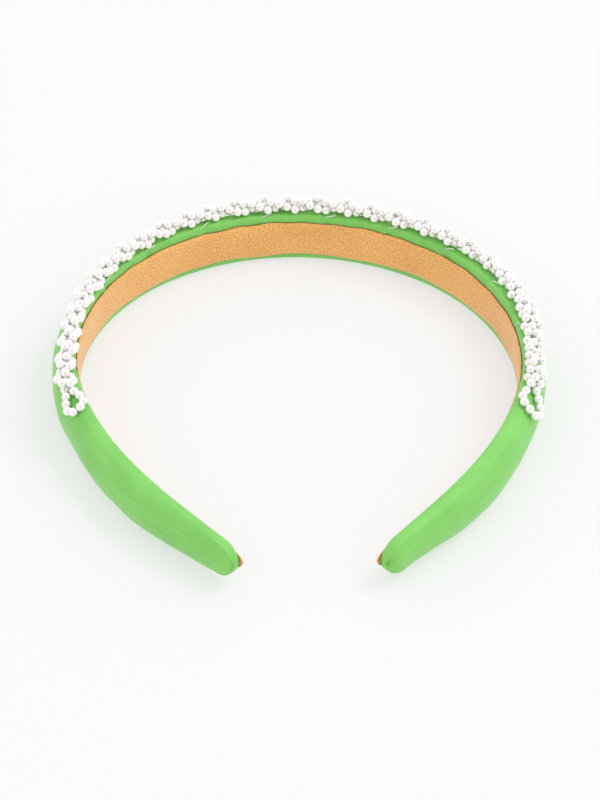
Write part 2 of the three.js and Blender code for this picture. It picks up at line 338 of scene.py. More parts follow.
# %% [markdown]
# ## The band's section
#
# Cut across, the cover is a half ellipse over a short upright edge, closed by a flat back with small
# rounded corners. Towards each tip the section grows narrower and thinner, and in the last few
# millimetres it rounds off like a fingertip.

# %% The section
BAND_THICKNESS = 8.2
TIP_WIDTH, TIP_THICKNESS = 12.0, 5.9
TAPER_LENGTH, TIP_ROUND = 42.0, 5.5
GAP = 0.3
SATIN_THICKNESS = 0.4
STRIP_THICKNESS = 1.2
CORNER_RADIUS = 0.9
DOME_POINTS = 241
BACK = LINING_THICKNESS + GAP
DOME_START = BACK + SATIN_THICKNESS + GAP + STRIP_THICKNESS + GAP


def half_outline(inset):
    """Half a section as a path from the dome's middle to the middle of the back: a quarter ellipse,
    the upright edge, a corner and the flat back. Gives distance along it, out and up."""
    half, corner, back = HALF_WIDTH - inset, CORNER_RADIUS - inset, BACK + inset
    angle = np.linspace(0, np.pi / 2, DOME_POINTS)
    bend = np.linspace(0, 1, 17)
    out = np.concatenate([
        DOME_START + (BAND_THICKNESS - inset - DOME_START) * np.cos(angle),
        back + corner * (1 - bend) ** 2,
        [back],
    ])
    up = np.concatenate([half * np.sin(angle), half - corner * bend**2, [0.0]])
    distance = np.concatenate([[0], np.cumsum(np.hypot(np.diff(out), np.diff(up)))])
    return distance, out, up


FACE = half_outline(0)
FACE_LENGTH = FACE[0][-1]


def on_face(distance):
    """The section's point and outward normal at a signed distance round it from the dome's middle.
    The normal is the path's direction turned by a right angle."""
    along, side = np.abs(distance), np.where(distance < 0, -1, 1)
    out, up = np.interp(along, FACE[0], FACE[1]), np.interp(along, FACE[0], FACE[2])
    step = 0.02
    before, after = np.clip(along - step, 0, None), np.clip(along + step, None, FACE_LENGTH)
    d_out = np.interp(after, FACE[0], FACE[1]) - np.interp(before, FACE[0], FACE[1])
    d_up = np.interp(after, FACE[0], FACE[2]) - np.interp(before, FACE[0], FACE[2])
    size = np.hypot(d_out, d_up)
    return out, side * up, d_up / size, -side * d_out / size


def on_layer(s, out, up, inset, tip_inset):
    """Bends a layer's section onto the band. Width follows the taper and the rounded tip. What lies
    outside the strip thins with the dome, and what lies inside keeps its distance from the lining."""
    length = np.abs(s)
    taper = smooth_rise((length - (HALF_LENGTH - TAPER_LENGTH)) / TAPER_LENGTH)
    past = np.clip(length - (HALF_LENGTH - TIP_ROUND), 0, None) / (TIP_ROUND - tip_inset)
    rounding = np.sqrt(np.clip(1 - past**2, 0, None))
    half = (BAND_WIDTH + (TIP_WIDTH - BAND_WIDTH) * taper) / 2 - inset
    dome = BAND_THICKNESS + (TIP_THICKNESS - BAND_THICKNESS) * taper - inset - DOME_START
    thinning = np.where(out > DOME_START, dome * rounding / (BAND_THICKNESS - inset - DOME_START), 1)
    width = half * rounding / (HALF_WIDTH - inset)
    return on_band(s, DOME_START + (out - DOME_START) * thinning, up * width)


def stations(spacing, tip_count, tip_inset):
    """Arc lengths along a layer: even on the body, and set by the sine of an even angle round each
    tip, so that they crowd where the tip closes."""
    straight = HALF_LENGTH - TIP_ROUND
    body = np.linspace(-straight, straight, int(2 * straight / spacing) + 1)
    tip = straight + (TIP_ROUND - tip_inset) * np.sin(np.linspace(0, np.pi / 2, tip_count + 1)[1:])
    return np.concatenate([-tip[::-1], body, tip])


print("half of the section's outline is", round(float(FACE_LENGTH), 1), "mm long")

# %% [markdown]
# ## Turning grids into meshes
#
# A surface on a grid needs one face for each cell. Where a ring of points shrinks to nothing, at a
# tip or a pole, its points fall together, so they are merged and the mesh stays closed.

# %% Mesh helpers
MERGE_DISTANCE = 0.002


def grid_faces(rows, columns, closed):
    """Quads of a grid numbered row by row. closed joins the last column to the first."""
    row = np.arange(rows - 1)[:, None] * columns
    column = np.arange(columns if closed else columns - 1)
    following = (column + 1) % columns
    corners = [row + column, row + following, row + columns + following, row + columns + column]
    return np.stack(np.broadcast_arrays(*corners), axis=-1).reshape(-1, 4)


def merge_points(points, faces):
    """Makes points that fall together one, and drops the corners and faces that this empties. Gives
    the points kept, the faces with their new corners, and the numbers of the faces kept."""
    keys = np.round(points / MERGE_DISTANCE).astype(np.int64)
    _, kept_points, number = np.unique(keys, axis=0, return_index=True, return_inverse=True)
    joined, kept_faces = [], []
    for which, face in enumerate(number.reshape(-1)[faces].tolist()):
        corners = [corner for i, corner in enumerate(face) if corner != face[i - 1]]
        if len(set(corners)) > 2:
            joined.append(corners)
            kept_faces.append(which)
    return kept_points, joined, np.array(kept_faces)


def make_piece(name, points, faces, materials, uv=None, marks=None, face_material=None):
    """Makes points in millimetres and quads a smooth mesh that rides on the root body. uv is one pair
    of numbers for each point, marks a dictionary of point attributes, and face_material the number of
    each face's material."""
    kept, joined, kept_faces = merge_points(points, faces)
    mesh = bpy.data.meshes.new(name)
    mesh.from_pydata((points[kept] * MM).tolist(), [], joined)
    if uv is not None:
        corner_point = np.empty(len(mesh.loops), np.int32)
        mesh.loops.foreach_get("vertex_index", corner_point)
        layer = mesh.uv_layers.new(name="surface")
        layer.data.foreach_set("uv", uv[kept][corner_point].astype(np.float32).ravel())
    for key, values in (marks or {}).items():
        attribute = mesh.attributes.new(key, "FLOAT", "POINT")
        attribute.data.foreach_set("value", values[kept].astype(np.float32))
    for material in materials:
        mesh.materials.append(material)
    if face_material is not None:
        mesh.polygons.foreach_set("material_index", face_material[kept_faces].astype(np.int32))
    mesh.shade_smooth()
    mesh.update()
    piece = bpy.data.objects.new(name, mesh)
    bpy.context.scene.collection.objects.link(piece)
    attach(piece, "root")
    return piece


def grid_normals(points, pole_direction):
    """Unit normals of a grid of points: the cross product of its two directions. pole_direction is
    used where a row has shrunk to nothing."""
    along = np.gradient(points, axis=0)
    around = np.gradient(points, axis=1)
    normal = np.cross(along, around)
    size = np.linalg.norm(normal, axis=-1, keepdims=True)
    flat = size[..., 0] < 1e-6
    normal = normal / np.maximum(size, 1e-12)
    normal[flat] = np.broadcast_to(pole_direction, normal.shape)[flat]
    return normal


print("mesh helpers ready")

# %% [markdown]
# ## Where the plait and its stitches lie
#
# The plait runs along the band's upper shoulder. It was laid by hand, so it wanders a little: nearer
# the lining on the left, further from it on the right, and back at both ends. Its middle line is
# a list of distances round the section from the dome's middle, each at its own arc length, and the
# stitches are placed from it.

# %% The plait's line
BEAD = 2.6
PLAIT_HALF = 118.8
PLAIT_OFF_CENTRE = 0.6
PLAIT_PITCH = 22.5
PLAIT_TIGHTER = 0.065
LINE_S = np.array([-119, -98, -80, -50, -25, 0, 25, 40, 56, 66, 78, 93, 105, 119.0])
LINE_FROM_MIDDLE = np.array(
    [9.4, 11.2, 11.1, 10.5, 9.8, 10.2, 10.2, 9.9, 9.1, 8.8, 9.2, 9.8, 10.3, 9.4]
)
WRAP_RADIUS = 8.0
REST_HEIGHT = BEAD / 2 + 0.05
PLAIT_SWING = 1.6
PLAIT_LIFT = 1.1
PLAIT_MIDDLE = REST_HEIGHT + PLAIT_LIFT


def plait_distance(s):
    """Distance of the plait's middle line from the dome's middle, round the section: laid by hand, so
    it wanders from one listed distance to the next, each time in an S-shaped change."""
    before = np.clip(np.searchsorted(LINE_S, s) - 1, 0, len(LINE_S) - 2)
    share = (s - LINE_S[before]) / (LINE_S[before + 1] - LINE_S[before])
    step = LINE_FROM_MIDDLE[before + 1] - LINE_FROM_MIDDLE[before]
    return LINE_FROM_MIDDLE[before] + step * smooth_rise(share)


def on_plait(s, sideways, height):
    """A point of the plait: sideways bends round a circle that touches the satin under the plait's
    middle line, and height is measured from the satin."""
    out, up, normal_out, normal_up = on_face(plait_distance(s))
    lean = np.arctan2(normal_up, normal_out) + sideways / (WRAP_RADIUS + PLAIT_MIDDLE)
    reach = WRAP_RADIUS + height
    return on_band(
        s,
        out - WRAP_RADIUS * normal_out + reach * np.cos(lean),
        up - WRAP_RADIUS * normal_up + reach * np.sin(lean),
    )


TACKS_PER_SIDE = 12
TACK_NEAREST = 2.3
TACK_LENGTH = 0.8
TACK_SLANT = 3.0
THREAD = 0.35
LINING_MARGIN = 2.5
LINING_EDGE = FACE_LENGTH - (HALF_WIDTH - CORNER_RADIUS) + LINING_MARGIN - CORNER_RADIUS
tack_s = PLAIT_OFF_CENTRE + PLAIT_HALF * ((2 * np.arange(TACKS_PER_SIDE) + 1) / TACKS_PER_SIDE - 1)
tack_limit = LINING_EDGE - LINING_MARGIN
inner_start = np.minimum(plait_distance(tack_s) + TACK_NEAREST, tack_limit)
inner_finish = np.minimum(inner_start + TACK_LENGTH, tack_limit)
outer_start = plait_distance(tack_s) - TACK_NEAREST
outer_finish = outer_start - TACK_LENGTH
print("tacks at", tack_s.round(0))

# %% [markdown]
# ## How the satin lies
#
# Satin pulled over foam is never quite smooth. The foam swells a little between places, each tack
# pulls a small dimple with short folds running from it, the cloth wrinkles where it goes round the
# shoulder under the plait, it is drawn into faint lengthwise ridges on the legs, and it is gathered
# into little pleats round each tip. Each of these is a formula for a height over the smooth form, and
# the cover and the foam below it share the sum. A cloth simulation would hide these behind chance,
# and the band is too slim for one to add to it. Each name ending in _STARTS or _ENDS is a distance
# round the section from the dome's middle.

# %% Relief of the cover
SWELL, SWELL_ENDS = 0.10, 8.5
DIMPLE_DEPTH, DIMPLE_SIZE = 0.6, 0.55
FOLD_HEIGHT, FOLD_REACH = 0.17, 2.2
SHOULDER_FOLD, SHOULDER_FROM_PLAIT, SHOULDER_ENDS = 0.13, 1.6, 13.2
EDGE_FOLD, EDGE_STARTS, EDGE_ENDS = 0.05, 7.0, 12.4
LEG_RIDGE, RIDGE_ENDS = 0.055, 11.0
TIP_PLEAT, PLEAT_LENGTH, PLEAT_ENDS = 0.13, 9.0, 12.0
PLAIT_COVERS = 2.4
RESTING_STARTS = 8.6
PAST_PLAIT = 12.0


def fade_in(x, start, length):
    """0 before the start, 1 a length after it, and an S-shaped rise between."""
    return smooth_rise((x - start) / length)


def fade_out(x, start, length):
    """1 before the start, 0 a length after it, and an S-shaped fall between."""
    return 1 - fade_in(x, start, length)


def wave_set(rng, count, shortest, longest, slant):
    """Draws the length, slant and start of each sine in a sum."""
    return [
        (rng.uniform(shortest, longest), rng.uniform(-slant, slant), rng.uniform(0, 2 * np.pi))
        for _ in range(count)
    ]


def waves(drawn, s, d):
    """A sum of sines that run along the band, scaled so that it stays near 1."""
    total = sum(np.sin(2 * np.pi * (s + lean * d) / length + start) for length, lean, start in drawn)
    return total / math.sqrt(len(drawn))


rng = np.random.default_rng(7)
swells = wave_set(rng, 5, 14, 45, 1.0)
shoulder_folds = wave_set(rng, 6, 2.6, 7.5, 1.4)
lower_folds = wave_set(rng, 5, 3.5, 9, 1.0)
tip_pleats = wave_set(rng, 3, 2.2, 4.5, 0.05)
leg_ridges = wave_set(rng, 4, 3.0, 7.0, 0.06)
dimple_s = np.tile(tack_s, 2)
dimple_d = np.concatenate([inner_finish, outer_finish])
dimples = [
    (s, d, rng.integers(3, 6), rng.uniform(0, 2 * np.pi), rng.uniform(0.6, 1.2))
    for s, d in zip(dimple_s, dimple_d)
]


def relief(s, d):
    """Height of the cloth over its smooth form at arc length s and distance round d. Each part is a
    sum of waves times windows that fade it in and out, and each dimple is a bell with a ring of
    folds. Under the plait and on the resting edge nothing stands proud."""
    from_crown, from_middle = np.abs(s), np.abs(d)
    from_plait = d - plait_distance(s)
    total = SWELL * waves(swells, s, d) * fade_out(from_middle, SWELL_ENDS, 3)
    shoulder = fade_in(from_plait, SHOULDER_FROM_PLAIT, 1.6) * fade_out(d, SHOULDER_ENDS, 1.6)
    shoulder = shoulder * fade_out(from_crown, PLAIT_HALF, PAST_PLAIT)
    total = total + SHOULDER_FOLD * waves(shoulder_folds, s, d) * shoulder
    lower_edge = fade_in(-d, EDGE_STARTS, 2) * fade_out(-d, EDGE_ENDS, 1.2)
    total = total + EDGE_FOLD * waves(lower_folds, s, d) * lower_edge
    on_leg = fade_in(from_crown, PLAIT_HALF, 14) * fade_out(from_middle, RIDGE_ENDS, 2)
    total = total + LEG_RIDGE * waves(leg_ridges, d, s) * on_leg
    for at_s, at_d, count, start, strength in dimples:
        away = np.hypot(s - at_s, d - at_d)
        angle = np.arctan2(d - at_d, s - at_s)
        total = total - strength * DIMPLE_DEPTH * np.exp(-0.5 * (away / DIMPLE_SIZE) ** 2)
        ring = (away / FOLD_REACH) * np.exp(1 - away / FOLD_REACH)
        total = total + strength * FOLD_HEIGHT * ring**3 * np.cos(count * angle + start)
    tip = fade_in(from_crown, HALF_LENGTH - PLEAT_LENGTH, 7) * fade_out(from_middle, PLEAT_ENDS, 2)
    total = total + TIP_PLEAT * tip * waves(tip_pleats, d, s)
    by_plait = from_crown < PLAIT_HALF + PAST_PLAIT
    under_plait = fade_out(np.abs(from_plait), PLAIT_COVERS, 0.8) * by_plait
    on_floor = fade_in(-d, RESTING_STARTS, 1.2)
    return total - np.maximum(under_plait, on_floor) * np.clip(total, 0, None)


sample = relief(np.linspace(-190, 190, 2000)[:, None], np.linspace(-12, 12, 60)[None])
print("relief from", sample.min().round(2), "to", sample.max().round(2), "mm")

# %% [markdown]
# ## Satin
#
# Satin is woven so that long warp threads float on top. That gives a smooth face whose shine
# stretches across the threads, with fine lines along them. Faint broader bands of sheen along the
# threads are a painted sheen: a noise stretched along the band darkens the green in soft lengthwise
# bands. The colour is a clear leaf green that pales where the light grazes it. The surface's own UV
# map holds millimetres along and round the band, so the threads follow the cloth.

# %% Satin material
THREAD_SCALE = (0.35, 7.0, 1.0)
SHEEN_STREAK_SCALE = (0.03, 0.5, 1.0)
GREEN_DEEP, GREEN_LIGHT = (0.190, 0.545, 0.100), (0.260, 0.690, 0.145)
SHEEN_STREAK_DARK = (0.88, 0.92, 0.87)

satin, tree, shader = node_material("leaf_green_satin")
place = add(tree, "ShaderNodeUVMap", uv_map="surface").outputs["UV"]
floats = pattern(tree, stretched(tree, place, THREAD_SCALE), Scale=1.0, Detail=3.0, Roughness=0.6)
cloud = pattern(tree, place, Scale=0.09, Detail=2.0, Roughness=0.5)
half_cloud = add(tree, "ShaderNodeMath", operation="MULTIPLY")
half_cloud.inputs[1].default_value = 0.5
tree.links.new(cloud, half_cloud.inputs[0])
blend = add(tree, "ShaderNodeMath", operation="MULTIPLY_ADD")
blend.inputs[1].default_value = 0.5
tree.links.new(floats, blend.inputs[0])
tree.links.new(half_cloud.outputs["Value"], blend.inputs[2])
greens = two_tones(tree, blend.outputs["Value"], GREEN_DEEP, GREEN_LIGHT, 0.3, 0.7)
# Painted sheen: lengthwise bands of shine painted into the base colour, darker where this stretched
# noise is low.
sheen_streak_noise = pattern(tree, stretched(tree, place, SHEEN_STREAK_SCALE), Scale=1.0, Detail=3.0, Roughness=0.55)
painted_sheen_tone = two_tones(tree, sheen_streak_noise, SHEEN_STREAK_DARK, (1.0, 1.0, 1.0), 0.32, 0.68)
tree.links.new(mix_colours(tree, 1.0, greens, painted_sheen_tone, "MULTIPLY"), shader.inputs["Base Color"])
set_roughness(tree, shader, floats, 0.36, 0.52)
set_bump(tree, shader, floats, 0.4, 0.00008)
along = add(tree, "ShaderNodeTangent", direction_type="UV_MAP", uv_map="surface")
tree.links.new(along.outputs["Tangent"], shader.inputs["Tangent"])
set_sockets(
    shader,
    Anisotropic=0.5,
    Sheen_Weight=0.25,
    Sheen_Roughness=0.4,
    Sheen_Tint=(0.75, 1.0, 0.65, 1),
    Specular_IOR_Level=0.45,
)
print("satin material ready")

# %% [markdown]
# ## The satin cover
#
# On the bench the satin is a strip cut a little wider than the way round the band. It is pulled over
# the pad, turned in over the edges and glued, which leaves a strip of the back open until the lining
# goes on. Here it is one grid that starts at one turned-in edge and goes round to the other, made
# twice, at the outer face and a cloth's thickness inside, and joined along its edges. Towards each
# tip the two edges close up until they nearly touch.

# %% Satin cover
HEM_WIDTH = 4.2
HEM_AT_TIP = 9.0
HEM_CLOSING = 5.0
HEM_SLIT = 0.06
COVER_SPACING = 0.6
COVER_TIP_RINGS = 12
COVER_AROUND = 71


def cover_grids():
    """Outer and inner skin. Row: one arc length. Column: a share of the way from one turned-in edge
    to the other. Both are moved along the outer skin's normals by the relief."""
    share = np.linspace(-1, 1, COVER_AROUND)[None]
    nominal = stations(COVER_SPACING, COVER_TIP_RINGS, 0)[:, None]
    closing = smooth_rise((np.abs(nominal) - (HALF_LENGTH - HEM_AT_TIP - HEM_CLOSING)) / HEM_CLOSING)
    open_half = (HALF_WIDTH - CORNER_RADIUS - HEM_WIDTH) * (1 - closing) + HEM_SLIT * closing
    fraction = share * (1 - open_half / FACE_LENGTH)
    skins = []
    for inset in (0.0, SATIN_THICKNESS):
        s = stations(COVER_SPACING, COVER_TIP_RINGS, inset)[:, None]
        distance, out, up = half_outline(inset)
        d = fraction * distance[-1]
        out_here = np.interp(np.abs(d), distance, out)
        up_here = np.sign(d) * np.interp(np.abs(d), distance, up)
        skins.append(on_layer(s, out_here, up_here, inset, inset))
    _, _, heading = band_line(nominal, LEG_RADIUS)
    forward = np.stack([np.cos(heading), -np.sin(heading), 0 * heading], axis=-1)
    normal = -grid_normals(skins[0], -np.sign(nominal)[..., None] * forward)
    d = fraction * FACE_LENGTH
    height = relief(nominal, d)[..., None]
    uv = np.stack(np.broadcast_arrays(nominal, d), axis=-1)
    return skins[0] + height * normal, skins[1] + height * normal, uv


outer, inner, cover_uv = cover_grids()
rows, columns = outer.shape[:2]
count = rows * columns
outer_faces = grid_faces(rows, columns, closed=False)
inner_faces = grid_faces(rows, columns, closed=False)[:, ::-1] + count
edge = np.arange(rows - 1) * columns
low_rim = np.stack([edge, edge + columns, edge + columns + count, edge + count], axis=-1)
edge = edge + columns - 1
high_rim = np.stack([edge, edge + count, edge + columns + count, edge + columns], axis=-1)
cover = make_piece(
    "satin_over_foam",
    np.concatenate([outer.reshape(-1, 3), inner.reshape(-1, 3)]),
    np.concatenate([outer_faces, inner_faces, low_rim, high_rim]),
    [satin],
    uv=np.tile(cover_uv.reshape(-1, 2), (2, 1)),
)
CUT_WIDTH = 2 * (FACE_LENGTH - (HALF_WIDTH - CORNER_RADIUS - HEM_WIDTH))
CUT_LENGTH = 2 * HALF_LENGTH + 2 * TIP_ROUND
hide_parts("satin_cover")
cut_size = round(float(CUT_WIDTH), 1), round(CUT_LENGTH)
print("cover:", len(cover.data.polygons), "faces, cut", cut_size, "mm")

# %% [markdown]
# ## Foam
#
# The pad is open-cell foam, cut domed and flat on the strip's side. It can't be seen once the band
# is covered, but it carries the satin, so its dome sinks where the satin's relief dips: the dimples
# and the troughs of the swells and folds. It is a grid whose rings go over the dome and back along
# the flat side, and each end shrinks to a point.

# %% Foam pad
FOAM_INSET = SATIN_THICKNESS + GAP
FOAM_SPACING, FOAM_TIP_RINGS = 1.3, 8
FOAM_ANGLES, FOAM_FLATS = 37, 12
FOAM_PIT_SHADE, FOAM_CREAM = (0.42, 0.37, 0.24), (0.85, 0.80, 0.62)

foam_material, tree, shader = node_material("cream_foam")
place = add(tree, "ShaderNodeTexCoord").outputs["Object"]
cells = pattern(tree, place, "ShaderNodeTexVoronoi", Scale=1900.0, feature="SMOOTH_F1")
# Painted shade: the colour is darkest at each cell's middle, where the bump sinks into a pit.
tree.links.new(two_tones(tree, cells, FOAM_PIT_SHADE, FOAM_CREAM, 0.0, 0.45), shader.inputs["Base Color"])
set_bump(tree, shader, cells, 0.6, 0.0003)
set_sockets(shader, Roughness=0.95)


def foam_ring(angles, flats):
    """One ring of the pad at full size: over the dome by even angles, then back along the flat."""
    half, height = HALF_WIDTH - FOAM_INSET, BAND_THICKNESS - FOAM_INSET - DOME_START
    angle = np.linspace(-np.pi / 2, np.pi / 2, angles)
    flat = np.linspace(half, -half, flats)[1:-1]
    out = np.concatenate([DOME_START + height * np.cos(angle), np.full(len(flat), DOME_START)])
    up = np.concatenate([half * np.sin(angle), flat])
    on_dome = np.concatenate([np.ones(angles), np.zeros(len(flat))])
    ellipse = np.linspace(0, np.pi / 2, DOME_POINTS)
    d = np.sign(angle) * np.interp(np.abs(angle), ellipse, FACE[0][:DOME_POINTS])
    return out, up, np.concatenate([d, np.zeros(len(flat))]), on_dome


foam_s = stations(FOAM_SPACING, FOAM_TIP_RINGS, FOAM_INSET)[:, None]
foam_out, foam_up, foam_d, on_dome = foam_ring(FOAM_ANGLES, FOAM_FLATS)
foam_points = on_layer(foam_s, foam_out[None], foam_up[None], FOAM_INSET, FOAM_INSET)
sunk = np.clip(relief(foam_s, foam_d[None]), None, 0) * on_dome
towards_axis = on_band(foam_s, DOME_START, 0 * foam_s) - foam_points
towards_axis /= np.maximum(np.linalg.norm(towards_axis, axis=-1, keepdims=True), 1.0)
foam_points = foam_points - sunk[..., None] * towards_axis
foam_faces = grid_faces(*foam_points.shape[:2], closed=True)
foam = make_piece("foam_padding", foam_points.reshape(-1, 3), foam_faces, [foam_material])
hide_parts("foam_pad")
print("foam:", len(foam.data.polygons), "faces")

# %% [markdown]
# ## The springy strip
#
# The strip is moulded plastic and its CAD shape is already right, so it only gets a finish: dark
# plastic with the faint flow marks of moulding.

# %% Strip finish
STRIP_DARK, STRIP_PALE = (0.018, 0.018, 0.020), (0.035, 0.035, 0.038)

strip_material, tree, shader = node_material("moulded_plastic")
place = add(tree, "ShaderNodeTexCoord").outputs["Object"]
flow = pattern(tree, place, Scale=60.0, Detail=4.0, Distortion=0.8)
tree.links.new(two_tones(tree, flow, STRIP_DARK, STRIP_PALE), shader.inputs["Base Color"])
set_roughness(tree, shader, flow, 0.38, 0.55)
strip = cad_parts["core_strip"]
strip.data.materials[0] = strip_material
print("strip finished")

# %% [markdown]
# ## Suede lining
#
# Suede is the flesh side of leather, or a cloth brushed to look like it: a short nap with no shine,
# full of fine darker specks. The colour turns dark brown on the cut edges, a thin dark line along the
# lining's rim. A point attribute marks the edges, and the colour is made of two noises, one for
# broad shading and one for specks.

# %% Suede material
SPECK_BROWN, SUEDE_TAN = (0.46, 0.17, 0.035), (1.0, 0.57, 0.19)
BROAD_SHADE = (0.93, 0.90, 0.86)
DARK_RIM_COLOUR = (0.20, 0.09, 0.035, 1)

suede, tree, shader = node_material("tan_suede")
place = add(tree, "ShaderNodeUVMap", uv_map="surface").outputs["UV"]
broad = pattern(tree, place, Scale=0.06, Detail=2.0)
specks = pattern(tree, place, Scale=1.8, Detail=5.0, Roughness=0.75)
tans = two_tones(tree, specks, SPECK_BROWN, SUEDE_TAN, 0.33, 0.56)
tone = two_tones(tree, broad, BROAD_SHADE, (1.0, 1.0, 1.0), 0.35, 0.65)
shaded = mix_colours(tree, 1.0, tans, tone, "MULTIPLY")
cut_edge = add(tree, "ShaderNodeAttribute", attribute_name="cut_edge").outputs["Fac"]
# Dark brown where the cut_edge attribute marks the edges: a thin dark line along the rim.
tree.links.new(mix_colours(tree, cut_edge, shaded, DARK_RIM_COLOUR), shader.inputs["Base Color"])
set_bump(tree, shader, specks, 0.5, 0.00015)
set_sockets(shader, Roughness=0.95, Specular_IOR_Level=0.15, Sheen_Weight=0.45, Sheen_Roughness=0.5)
print("suede material ready")

# %% [markdown]
# ## The lining
#
# The lining is a strip cut by hand and glued over the turned-in satin, so its long edges waver by a
# fraction of a millimetre. They are pared thin and pressed down onto the satin. A ring across it
# goes along the face, round the cut edge, back along the glued side and round the other edge.

# %% Lining
LINING_PAST_TIP = 0.8
LINING_SPACING, LINING_TIP_RINGS = 0.8, 10
EDGE_WAVER = 0.22
STEADY_HALF = 3.0
STEADY_TIP, STEADY_FADE = 12.0, 8.0
LINING_ROUND = 0.15
PARED_WIDTH = 1.5
PARED_AWAY = 0.42
PRESSED_DOWN = 0.50
FACE_POINTS = 31
LOWER_SHARE = 1.08


def lining_ring():
    """One ring at full size, counted from the lower edge of the face: out, up and how much of each
    point is cut edge. The strip is glued a little low, so the lower half is stretched."""
    half = HALF_WIDTH - LINING_MARGIN
    face = np.linspace(-half + LINING_ROUND, half - LINING_ROUND, FACE_POINTS)
    edge_out = np.array([LINING_ROUND, LINING_THICKNESS / 2, LINING_THICKNESS - LINING_ROUND])
    out = np.concatenate([0 * face, edge_out, 0 * face + LINING_THICKNESS, edge_out[::-1]])
    up = np.concatenate([face, [half] * 3, face[::-1], [-half] * 3])
    cut = np.concatenate([0 * face, [1.0] * 3, 0 * face, [1.0] * 3])
    bend = smooth_rise((np.abs(up) - half + PARED_WIDTH) / PARED_WIDTH)
    out = out * (1 - PARED_AWAY * bend) + PRESSED_DOWN * bend
    return out, np.where(up < 0, LOWER_SHARE, 1) * up, cut


lining_s = stations(LINING_SPACING, LINING_TIP_RINGS, -LINING_PAST_TIP)[:, None]
lining_out, lining_up, lining_cut = lining_ring()
rng = np.random.default_rng(11)
upper_cut, lower_cut = (waves(wave_set(rng, 6, 9, 40, 0), lining_s, 0) for _ in range(2))
waver = EDGE_WAVER * np.where(lining_up > 0, upper_cut, lower_cut)
near_edge = fade_in(np.abs(lining_up), STEADY_HALF, 3)
ease = fade_out(np.abs(lining_s), HALF_LENGTH - STEADY_TIP, STEADY_FADE)
lining_points = on_layer(
    lining_s,
    lining_out[None] + 0 * lining_s,
    lining_up[None] + waver * near_edge * ease,
    LINING_MARGIN,
    -LINING_PAST_TIP,
)
rows, columns = lining_points.shape[:2]
lining = make_piece(
    "suede_strip",
    lining_points.reshape(-1, 3),
    grid_faces(rows, columns, closed=True)[:, ::-1],
    [suede],
    uv=np.stack(np.broadcast_arrays(lining_s, lining_up[None]), axis=-1).reshape(-1, 2),
    marks={"cut_edge": np.broadcast_to(lining_cut[None], (rows, columns)).reshape(-1)},
)
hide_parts("suede_lining")

# %% [markdown]
# ## Pearls and thread
#
# The pearls are glass or plastic with a pearl coat: almost white, a touch warm, with a clear gloss
# over a soft body that lets a little light in. The thread is white and matt, with two plies twisted
# together.

# %% Pearl and thread materials
PEARL_WARM, PEARL_WHITE = (0.975, 0.945, 0.93), (1.0, 0.985, 0.975)
THREAD_DULL, THREAD_WHITE = (0.74, 0.74, 0.72), (0.92, 0.92, 0.90)

pearl, tree, shader = node_material("white_pearl")
place = add(tree, "ShaderNodeTexCoord").outputs["Object"]
tint = pattern(tree, place, Scale=260.0, Detail=1.0)
whites = two_tones(tree, tint, PEARL_WARM, PEARL_WHITE, 0.35, 0.65)
tree.links.new(whites, shader.inputs["Base Color"])
set_sockets(
    shader,
    Roughness=0.18,
    Metallic=0.3,
    Subsurface_Weight=0.2,
    Subsurface_Radius=(0.0012, 0.0009, 0.0008),
    Subsurface_Scale=1.0,
    Coat_Weight=0.8,
    Coat_Roughness=0.05,
    Coat_IOR=1.7,
)

thread_material, tree, shader = node_material("white_thread")
place = add(tree, "ShaderNodeTexCoord").outputs["Object"]
fibres = pattern(tree, place, Scale=5000.0, Detail=2.0)
tree.links.new(two_tones(tree, fibres, THREAD_DULL, THREAD_WHITE), shader.inputs["Base Color"])
set_bump(tree, shader, fibres, 0.4, 0.00003)
set_sockets(shader, Roughness=0.6)
print("pearl and thread materials ready")

# %% [markdown]
# ## The plait's three runs
#
# In a three-strand plait each strand goes once across and back while it goes twice up and down, so
# it passes over one neighbour and under the other. At each end two strands run on into one loop. The
# route is a smooth curve through points of that formula, and the beads are counted off along it.

# %% Routes of the strands
STRAND_PHASES = np.radians([60, 300, 180])
PLAIT_TURNS = round(2 * PLAIT_HALF / PLAIT_PITCH - 1 / 3) + 1 / 3
LOOP_LENGTH, LOOP_FULLNESS = 8.2, 0.45
LOOP_HALF = {-1: 3.0, 1: 3.9}
LOOP_LEAN = {-1: 0.05, 1: 0.4}
LOOP_START = math.radians(54)
ROUTE_STEP = 1.2


def strand_points(phase):
    """Sideways is the sine of an angle that grows along the plait, and height the sine of twice it."""
    u = np.linspace(-1, 1, int(2 * PLAIT_HALF / ROUTE_STEP) + 1)
    share = (u + PLAIT_TIGHTER * u**3) / (1 + PLAIT_TIGHTER)
    angle = phase + np.pi * PLAIT_TURNS * (share + 1)
    height = PLAIT_MIDDLE + PLAIT_LIFT * np.sin(2 * angle)
    return on_plait(PLAIT_OFF_CENTRE + PLAIT_HALF * u, PLAIT_SWING * np.sin(angle), height)


def loop_points(end, side):
    """Half of an end loop, from the plait's end to its far point, on one side: an ellipse made fuller
    towards the far point, like a drop, and leaning down the dome by a share of its length."""
    angle = np.linspace(LOOP_START, np.pi, 10)
    beyond = LOOP_LENGTH * (1 - np.cos(angle)) / 2
    sideways = side * LOOP_HALF[end] * np.sin(angle) * (1 - LOOP_FULLNESS * np.cos(angle))
    sideways = sideways - LOOP_LEAN[end] * beyond
    return on_plait(PLAIT_OFF_CENTRE + end * (PLAIT_HALF + beyond), sideways, REST_HEIGHT)


